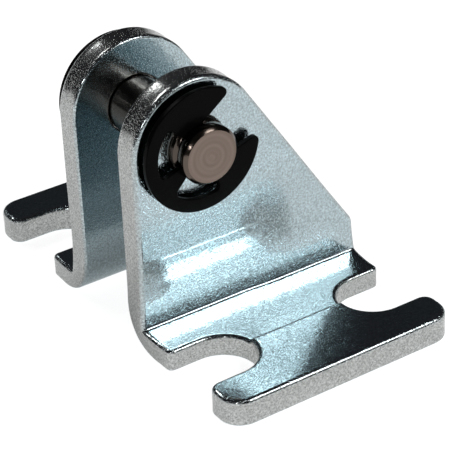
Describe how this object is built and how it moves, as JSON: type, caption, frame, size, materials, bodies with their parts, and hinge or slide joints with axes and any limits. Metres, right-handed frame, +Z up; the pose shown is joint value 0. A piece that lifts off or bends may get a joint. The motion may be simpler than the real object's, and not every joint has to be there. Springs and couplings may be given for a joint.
{
  "type": "clevis pivot bracket",
  "caption": "Clevis pivot bracket: bent sheet feet with open screw notches hold a cross pin kept by an E-clip at each end, for a cylinder or rod tang to swing on.",
  "frame": {"origin": "on the floor that the feet stand on, midway between the two brackets and midway across their width", "axes": "+X across the brackets, from the ear's side to the flank's side; +Y along the pin, from the front bracket to the rear one; +Z up"},
  "size_m": [0.0274, 0.048, 0.0291],
  "materials": {
    "zinc_plated_steel": "bright bluish zinc plating over pressed sheet",
    "blackened_pin_steel": "turned, blackened, worn bright on the end faces",
    "black_spring_steel": "satin black oxide"
  },
  "bodies": {
    "pin": {"pivot_pin": "blackened_pin_steel"},
    "front_clip": {"e_clip_front": "black_spring_steel"},
    "front_bracket": {"bracket_front": "zinc_plated_steel"},
    "rear_clip": {"e_clip_rear": "black_spring_steel"},
    "rear_bracket": {"bracket_rear": "zinc_plated_steel"}
  },
  "joints": [
    {"name": "front_swing", "type": "hinge", "parent": "pin", "child": "front_clip", "pos_m": [-0.00585, 0, 0.0217], "axis": [0, 1, 0], "continuous": true},
    {"name": "front_slide", "type": "slide", "parent": "front_clip", "child": "front_bracket", "axis": [0, 1, 0], "range_m": [-0.00055, 0.00415]},
    {"name": "rear_swing", "type": "hinge", "parent": "pin", "child": "rear_clip", "pos_m": [-0.00585, 0, 0.0217], "axis": [0, 1, 0], "continuous": true},
    {"name": "rear_slide", "type": "slide", "parent": "rear_clip", "child": "rear_bracket", "axis": [0, -1, 0], "range_m": [-0.00055, 0.00415]}
  ]
}
